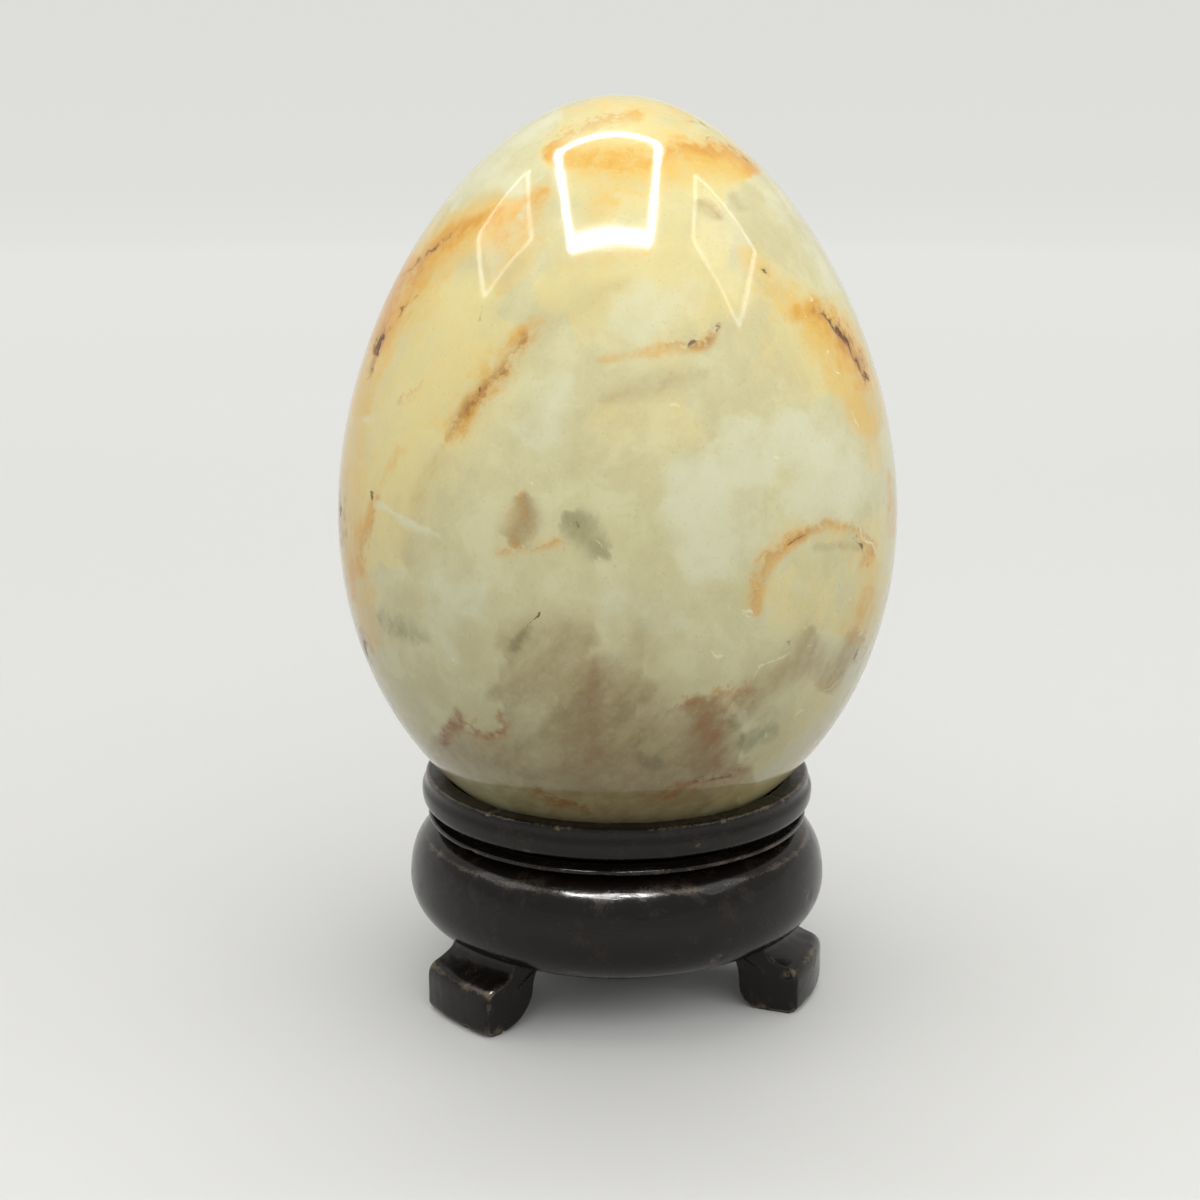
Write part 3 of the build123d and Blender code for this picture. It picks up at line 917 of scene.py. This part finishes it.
front_cracks = [
    [(384, 330, 0.8), (379, 341, 2.2), (376, 351, 2.4), (378, 358, 0.8)],
    [(374, 362, 0.8), (367, 379, 0.5)],
    [(479, 386, 1.4), (477, 392, 1.4)],
    [(818, 311, 0.8), (828, 320, 1.4), (838, 331, 2.2), (845, 342, 1.8), (850, 351, 0.8)],
    [(850, 352, 1.2), (858, 362, 1.0), (865, 373, 1.2), (868, 388, 0.5)],
    [(687, 348, 0.8), (692, 343, 1.8), (698, 340, 0.6)],
    [(717, 333, 1.2), (720, 323, 1.2), (714, 326, 0.5)],
    [(760, 268, 1.2), (765, 273, 1.8)],
    [(540, 613, 2.2), (535, 619, 1.4), (527, 629, 0.6)],
    [(371, 491, 1.6), (374, 499, 1.6)],
    [(860, 648, 0.8), (857, 655, 2.2), (853, 660, 0.6)],
    [(690, 784, 0.5), (708, 782, 0.9), (727, 778, 0.9), (741, 770, 0.5)],
    [(339, 486, 0.6), (338, 505, 1.6), (339, 520, 0.6)],
    [(362, 638, 0.6), (365, 650, 1.4), (368, 660, 0.5)],
    [(589, 776, 1.3)],
    [(578, 788, 1.0)],
    [(442, 744, 1.6), (449, 743, 0.6)],
    [(788, 547, 0.5), (798, 540, 0.9), (808, 532, 0.5)],
    [(848, 531, 0.5), (856, 540, 0.9), (865, 550, 0.9), (868, 557, 0.4)],
    [(703, 141, 0.6), (716, 140, 0.8), (733, 149, 0.8), (752, 164, 0.6)],
    [(662, 117, 0.4), (690, 121, 0.6), (712, 128, 0.4)],
    [(401, 278, 0.5), (420, 260, 0.8), (438, 247, 0.8), (456, 234, 0.4)],
    [(389, 330, 0.5), (398, 314, 0.8), (407, 303, 0.7), (419, 296, 0.4)],
    [(479, 322, 0.8), (484, 305, 0.4)],
    [(663, 584, 0.9)],
    [(787, 647, 0.9), (791, 641, 0.5)],
    [(574, 522, 1.0), (582, 533, 0.6)],
    [(770, 292, 0.9)],
    [(457, 356, 0.8)],
]
front_fissures = [
    [(752, 681, 0.5), (757, 669, 0.9), (770, 662, 0.7), (783, 657, 0.9), (794, 649, 0.5)],
    [(793, 716, 0.7), (803, 711, 0.9), (814, 708, 0.5)],
    [(822, 692, 0.9), (832, 688, 0.7), (843, 677, 0.5)],
    [(808, 647, 0.5), (815, 642, 0.9)],
    [(741, 609, 1.0), (752, 614, 1.8)],
    [(742, 617, 0.5), (750, 625, 0.9)],
    [(711, 622, 0.5), (719, 628, 0.9)],
    [(727, 604, 0.8), (732, 612, 1.2)],
    [(711, 650, 0.6), (717, 658, 2.2), (723, 656, 1.0)],
    [(706, 634, 1.0), (709, 639, 0.6)],
    [(592, 538, 0.5), (600, 545, 0.9), (604, 550, 0.4)],
    [(858, 520, 0.5), (863, 536, 1.2), (873, 546, 1.4), (876, 556, 0.6)],
    [(668, 407, 0.8), (675, 404, 1.4), (679, 408, 0.5)],
    [(826, 350, 1.6), (828, 356, 0.8)],
    [(836, 368, 1.2), (841, 373, 1.4)],
    [(772, 459, 1.0), (779, 460, 0.6)],
    [(773, 467, 0.9), (778, 467, 0.5)],
    [(812, 298, 1.0), (814, 303, 1.0)],
    [(806, 315, 1.4), (808, 320, 0.6)],
    [(383, 502, 0.6), (392, 511, 1.2), (404, 517, 0.5)],
    [(405, 652, 1.6)],
    [(451, 655, 0.6), (457, 662, 1.2)],
    [(530, 623, 0.5), (536, 617, 0.9)],
    [(532, 482, 1.4), (536, 487, 0.8)],
    [(757, 587, 1.6), (761, 588, 1.0)],
    [(848, 600, 1.4), (852, 597, 0.8)],
    [(706, 738, 1.2)],
    [(723, 760, 1.4)],
    [(697, 757, 1.4)],
    [(764, 738, 1.2), (770, 735, 0.8)],
    [(853, 409, 0.5), (860, 427, 0.8)],
]

# The side that the photograph doesn't show, marked in the same way as seen from behind.
back_marks = {
    "cream": [
        (0.9, [(870, 320, 60), (800, 400, 70), (740, 300, 60)]),
        (0.8, [(360, 440, 50), (440, 520, 60), (540, 600, 50)]),
        (0.7, [(560, 150, 50), (660, 160, 50)]),
        (0.6, [(820, 620, 50), (760, 700, 40)]),
    ],
    "honey": [
        (0.9, [(885, 330, 12), (850, 300, 22), (800, 270, 26), (730, 260, 24), (660, 280, 16)]),
        (0.7, [(340, 420, 14), (380, 470, 26), (450, 500, 30), (530, 560, 26), (590, 640, 18)]),
        (0.5, [(870, 520, 20), (830, 570, 26), (780, 600, 18)]),
        (0.6, [(560, 120, 14), (630, 130, 20), (700, 160, 14)]),
        (0.4, [(500, 300, 40), (450, 370, 36)]),
        (0.45, [(700, 470, 30), (660, 530, 30)]),
    ],
    "milk": [
        (0.6, [(600, 380, 50), (560, 430, 40)]),
        (0.6, [(430, 620, 34), (490, 680, 30)]),
        (0.6, [(770, 420, 36)]),
        (0.7, [(360, 330, 30), (420, 300, 30)]),
        (0.7, [(884, 480, 20), (850, 460, 34)]),
        (0.5, [(640, 210, 24), (560, 220, 24)]),
        (0.6, [(700, 700, 30), (650, 760, 20)]),
    ],
    "grey": [
        (0.6, [(640, 600, 18), (670, 640, 20)]),
        (0.45, [(440, 560, 20), (400, 600, 16)]),
        (0.4, [(780, 700, 22), (740, 740, 18)]),
        (0.4, [(520, 250, 18)]),
        (0.5, [(350, 600, 14), (380, 630, 18)]),
    ],
    "moss": [(0.5, [(650, 620, 14)]), (0.45, [(470, 720, 16)]), (0.4, [(820, 640, 12)])],
    "umber": [
        (0.35, [(344, 560, 20), (380, 600, 30), (430, 640, 26)]),
        (0.3, [(884, 600, 16), (860, 660, 26), (820, 700, 24)]),
        (0.5, [(560, 720, 22), (600, 780, 22)]),
        (0.5, [(760, 640, 18), (800, 600, 14)]),
        (0.4, [(500, 520, 16), (560, 600, 18)]),
        (0.4, [(640, 300, 14), (700, 320, 16)]),
    ],
    "ochre": [
        (0.8, [(880, 345, 6), (848, 318, 11), (800, 292, 12), (740, 282, 10), (690, 296, 6)], 1.2),
        (0.7, [(342, 385, 5), (372, 430, 9), (430, 470, 10), (480, 520, 9), (520, 590, 6), (545, 650, 3)]),
        (0.5, [(600, 130, 4), (650, 140, 7), (710, 172, 4)]),
        (0.5, [(840, 560, 5), (800, 590, 7), (770, 640, 5), (762, 690, 3)]),
        (0.45, [(700, 440, 3), (680, 480, 6), (650, 520, 4)]),
    ],
    "rust": [
        (0.75, [(872, 352, 2), (838, 326, 5), (800, 304, 6), (760, 300, 3)], 1.5),
        (0.7, [(420, 466, 2), (452, 496, 5), (478, 530, 5), (500, 572, 2)]),
        (0.5, [(770, 640, 3), (764, 670, 5), (768, 704, 2)]),
        (0.5, [(560, 750, 4), (590, 765, 5), (620, 760, 3)]),
        (0.5, [(344, 388, 3), (358, 410, 4)]),
    ],
}
back_veins = [
    [(880, 348, 1.5), (848, 322, 4), (820, 306, 5), (790, 298, 4), (740, 290, 2)],
    [(350, 400, 2), (384, 442, 4), (430, 478, 5), (470, 516, 5), (500, 566, 3), (520, 610, 1.5)],
    [(840, 562, 1.5), (804, 588, 3), (774, 630, 4), (764, 672, 4), (768, 704, 2)],
    [(556, 748, 2), (590, 764, 4), (620, 760, 2)],
    [(604, 132, 1.5), (650, 140, 3), (706, 170, 1.5)],
    [(700, 440, 1), (682, 478, 3), (652, 518, 1.5)],
    [(480, 330, 1), (520, 342, 2.5), (560, 336, 1)],
]
back_cracks = [
    [(850, 334, 0.6), (832, 322, 1.8), (815, 312, 2.0), (800, 305, 0.7)],
    [(446, 488, 0.6), (460, 505, 1.8), (470, 520, 1.6), (482, 540, 0.6)],
    [(766, 650, 0.5), (764, 668, 1.2), (768, 690, 0.5)],
    [(662, 612, 0.6), (672, 628, 1.6), (676, 640, 0.5)],
    [(600, 430, 0.5), (618, 446, 0.9), (640, 452, 0.5)],
    [(520, 330, 0.9)],
    [(700, 560, 1.2), (704, 566, 0.8)],
]
back_fissures = [
    [(590, 470, 0.5), (612, 482, 1.0), (640, 484, 0.6)],
    [(420, 520, 0.6), (432, 536, 1.2), (450, 542, 0.5)],
    [(720, 620, 0.6), (732, 640, 1.2), (728, 660, 0.5)],
    [(520, 640, 1.4), (526, 650, 0.8)],
    [(820, 480, 1.0), (830, 490, 0.6)],
    [(660, 360, 0.6), (676, 372, 1.0)],
]

front_seen, front_facing = seen_from(0)
back_seen, back_facing = seen_from(180)
egg_values, back_fade = [], 0.25
for kind, marks in front_marks.items():
    front = soft_marks(front_seen, front_facing, marks)
    behind = soft_marks(back_seen, back_facing, back_marks[kind])
    behind *= np.clip(1 - front_facing / back_fade, 0, 1)
    egg_values.append((kind, 1 - (1 - front) * (1 - behind)))
for kind, room, front_lines, back_lines in (
    ("vein", 12, front_veins, back_veins),
    ("crack", 5, front_cracks, back_cracks),
    ("fissure", 5, front_fissures, back_fissures),
):
    front = crisp_marks(front_seen, front_facing, front_lines, room)
    behind = crisp_marks(back_seen, back_facing, back_lines, room)
    behind_wins = (behind[1] - np.abs(behind[0]) > front[1] - np.abs(front[0])) & (front_facing < 0.1)
    egg_values.append((kind + "_across", np.where(behind_wins, behind[0], front[0])))
    egg_values.append((kind + "_reach", np.where(behind_wins, behind[1], front[1])))

crack_depth = 0.05
hand_ground = 0.03 * (1 + lumps(egg_points, 22, 31)) + 0.008 * (1 + lumps(egg_points, 7, 32))
value_of = dict(egg_values)
crack_room = value_of["crack_reach"] + 1 - np.abs(value_of["crack_across"])
row_of = np.arange(len(egg_points)) // egg_columns
poles = (row_of == 0) | (row_of == egg_rows - 1)
sunk = np.where(poles, 0, hand_ground + crack_depth * np.clip(crack_room / 2, 0, 1))
egg_grid = (egg_points - egg_normals * sunk[:, None]).reshape(egg_grid.shape)
egg_grid[0], egg_grid[-1] = egg_grid[0, :1], egg_grid[-1, :1]

stone, stone_shader, place = paint("polished_stone")


def laid(kind):
    """How strongly the egg's markings of that kind lie at this place."""
    return place.node("ShaderNodeAttribute", {"attribute_name": kind}, {}, 2)


clouds = place.shaken(9, 3).grain(14, 4, 0.55)
wisps = place.shaken(4, 1.5).grain(4.5, 5, 0.62)
crumbs = place.shaken(1, 0.25).grain(1.1, 3, 0.65)
specks = place.grain(0.3, 2, 0.6)
streak_lean = {"Vector": place, "Angle": radians(-35)}
tilted = place.node("ShaderNodeVectorRotate", {"rotation_type": "Y_AXIS"}, streak_lean)
streaks = tilted.shaken(6, 1.2).grain(2.0, 5, 0.62, (1, 1, 0.25))
ragged = (wisps - 0.5) * 1.6 + (crumbs - 0.5) * 0.9 + (streaks - 0.5) * 1.5
fine = (crumbs - 0.5) * 7 + (specks - 0.5) * 4


def cloudy(kind, roughen, low, high):
    """The markings of that kind with torn edges: 0 to 1, and nothing where none are laid."""
    there = laid(kind)
    return (there + ragged * roughen).step(low, high) * there.step(0, 0.45)


def lined(kind, wander, soften):
    """Lines of that kind, 0 to 1, that wander by noise and fade out in places."""
    reach = laid(kind + "_reach")
    aside = abs(laid(kind + "_across") + (crumbs - 0.5) * wander)
    there = (reach + fine * wander * 0.05 - aside) / soften
    return there.step(-0.5, 1) * (reach * 0.5 + (wisps - 0.42) * 5).step(-0.2, 1)


ground = (clouds.step(0.4, 0.66) * 0.5).between(shade(220, 213, 165), shade(213, 203, 154))
ground = ground.tint(wisps.step(0.48, 0.64) * 0.6, shade(230, 226, 182))
ground = ground.tint((1 - wisps).step(0.5, 0.66) * 0.3, shade(200, 190, 142))
# Each kind of marking, in the order in which they lie over each other: (kind, how torn its edges
# are, how strongly it has to be laid to start and to be whole, how much it covers, its colour).
layers = [
    ("cream", 0.5, 0, 1.15, 0.85, (237, 220, 150)),
    ("honey", 0.5, 0.15, 1.1, 0.9, (234, 192, 94)),
    ("umber", 0.38, -0.05, 1.12, 0.85, (142, 104, 46)),
    ("grey", 0.6, 0, 1.1, 0.6, (134, 124, 82)),
    ("moss", 0.9, 0, 1.1, 0.55, (114, 114, 60)),
    ("milk", 0.6, 0.1, 1.1, 0.8, (229, 228, 194)),
    ("ochre", 0.8, 0.05, 1.1, 0.8, (226, 164, 56)),
    ("rust", 1.1, 0.1, 1.1, 0.6, (166, 108, 52)),
]
for kind, roughen, low, high, cover, colour in layers:
    ground = ground.tint(cloudy(kind, roughen, low, high) * cover, shade(*colour))
vein = lined("vein", 34, 7)
crack = lined("crack", 12, 1.4)
fissure = lined("fissure", 9, 1.2)
vein_rust = (laid("rust") + (crumbs - 0.5) * 1.5).step(0.2, 0.8)
vein_shade = vein_rust.between(shade(206, 146, 66), shade(146, 92, 42))
ground = ground.tint(vein * 0.55, vein_shade)
ground = ground.tint(fissure * 0.75, shade(246, 238, 196))
ground = ground.tint(crack * 0.85, shade(74, 42, 18))
ground = ground.tint(specks.step(0.66, 0.74) * 0.3, shade(240, 234, 204))
ground = ground.tint((1 - specks).step(0.62, 0.72) * 0.14, shade(130, 114, 70))
surface = specks * 0.2 + wisps * 0.3 - crack * 0.9 - fissure * 0.3 - vein * 0.2
feed(
    stone_shader,
    Base_Color=ground,
    Roughness=0.08 + crack * 0.4 + vein * 0.08 + (wisps - 0.5) * 0.06,
    Normal=surface.bump(0.02, 0.35),
    IOR=1.54,
    Specular_IOR_Level=0.4,
    Subsurface_Weight=0.2,
    Subsurface_Radius=(1.0, 0.95, 0.6),
    Subsurface_Scale=0.003,
)
egg = make_piece("egg_stone", egg_grid, True, egg_values, stone, "egg")
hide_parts("egg")

# ---- Floor
# A plain pale floor that sweeps up all round the object. The light that it throws back onto the
# object is held back, while the camera and the gloss see it pale, and evenly so far away.


def straight_look(tree):
    """1 for a ray from the camera, and for one that gloss or clear matter sends on, else 0."""
    path = tree.nodes.new("ShaderNodeLightPath")
    rays = [Wire(tree, path.outputs[f"Is {kind} Ray"]) for kind in ("Camera", "Glossy", "Transmission")]
    return rays[0].math("MAXIMUM", rays[1]).math("MAXIMUM", rays[2])


floor_material, floor_shader, place = paint("floor")
looked_at = straight_look(floor_material.node_tree)
far_off = place.node("ShaderNodeVectorMath", {"operation": "LENGTH"}, {0: place}, 1).step(0.15, 0.5)
far_look, black = looked_at * far_off, shade(0, 0, 0)
board = looked_at.between(shade(86, 86, 84), shade(206, 206, 204)).tint(far_look, black)
glow = far_look.between(black, shade(220, 220, 217))
feed(
    floor_shader,
    Base_Color=board,
    Roughness=0.6,
    Specular_IOR_Level=0.2,
    Emission_Color=glow,
    Emission_Strength=1,
)

board_reach, sweep, board_sides = 1100, 500, 96
sweep_turn = np.linspace(0, pi / 2, 25)
board_line = np.stack([board_reach + sweep * np.sin(sweep_turn), sweep * (1 - np.cos(sweep_turn))], 1)
board_points = np.vstack([[(0, 0, 0)], turned(board_line, board_sides).reshape(-1, 3)])
number = np.arange(len(board_line) * board_sides).reshape(-1, board_sides) + 1
right = np.roll(number, -1, 1)
board_faces = np.stack([number[:-1], right[:-1], right[1:], number[1:]], -1).reshape(-1, 4)[:, ::-1].tolist()
board_faces += [[0, near, far] for near, far in zip(number[0].tolist(), right[0].tolist())]
floor = make_object("floor", board_points, board_faces, floor_material)

# ---- Lamps
# A lit frame above the object, which the polish mirrors as a small window, a fainter frame at
# each side, broad soft lamps in front, at the sides and on the backdrop, and an even sky.


def lamp(name, middle, length, width, along, toward, glow, mirrored=True):
    """An area lamp that faces a point, with its length along a way, and that glow per area.

    A mirrored lamp is only seen in the gloss, and another only lights the colour.
    """
    middle, along, toward = Vector(middle), Vector(along), Vector(toward)
    facing = (toward - middle).normalized()
    side = (along - facing * along.dot(facing)).normalized()
    turn = Matrix((side, -facing.cross(side), -facing)).transposed()
    made = bpy.data.lights.new(name, "AREA")
    made.shape = "RECTANGLE"
    made.size, made.size_y = length * mm, width * mm
    made.energy = glow * pi * length * width * mm * mm
    lamp_object = bpy.data.objects.new(name, made)
    lamp_object.matrix_world = Matrix.Translation(middle * mm) @ turn.to_4x4()
    lamp_object.visible_glossy = mirrored
    lamp_object.visible_diffuse = not mirrored
    bpy.context.scene.collection.objects.link(lamp_object)


egg_point = (0, -10, 75)


def lit_frame(name, corners, widths, glow):
    """Four strip lamps along the sides of a frame, from corner to corner."""
    corners = [Vector(corner) for corner in corners]
    for side, width in enumerate(widths):
        start, end = corners[side], corners[(side + 1) % 4]
        lamp(f"{name}_{side}", (start + end) / 2, (end - start).length, width, end - start, egg_point, glow)


window = [(-152, -186, 478), (104, -186, 478), (122, 112, 490), (-176, 130, 478)]
left_frame = [(-241, 147, 435), (-342, 116, 358), (-366, -66, 347), (-260, -89, 444)]
right_frame = [(225, 78, 468), (352, 54, 364), (344, -163, 338), (229, -121, 456)]
lit_frame("window", window, (18, 7, 7, 7), 220)
lit_frame("left_frame", left_frame, (9, 9, 9, 9), 6)
lit_frame("right_frame", right_frame, (9, 9, 9, 9), 6)
lamp("left_panel", (-302, 28, 400), 190, 110, (0, 1, 0), egg_point, 1.6)
lamp("right_panel", (290, -40, 410), 190, 130, (0, 1, 0), egg_point, 1.6)
lamp("soft_top", (0, -120, 620), 500, 400, (1, 0, 0), (0, 0, 60), 0.75, mirrored=False)
lamp("soft_front", (60, -500, 400), 700, 400, (1, 0, 0), (0, 0, 50), 2.0, mirrored=False)
lamp("soft_left", (-540, -160, 320), 600, 400, (0, 1, 0), (0, 0, 50), 1.9, mirrored=False)
lamp("soft_right", (540, -160, 320), 600, 400, (0, 1, 0), (0, 0, 50), 2.1, mirrored=False)
lamp("soft_back", (0, 600, 330), 700, 400, (1, 0, 0), (0, 0, 50), 1.1, mirrored=False)
lamp("backdrop", (0, 500, 1300), 1800, 500, (1, 0, 0), (0, 1100, 300), 3.5, mirrored=False)

world = bpy.data.worlds.new("sky")
bpy.context.scene.world = world
world.use_nodes = True
sky = world.node_tree.nodes["Background"]
feed(sky, Color=(1, 0.99, 0.96, 1), Strength=straight_look(world.node_tree) * 0.16 + 0.4)

bpy.context.scene.view_settings.view_transform = "Standard"
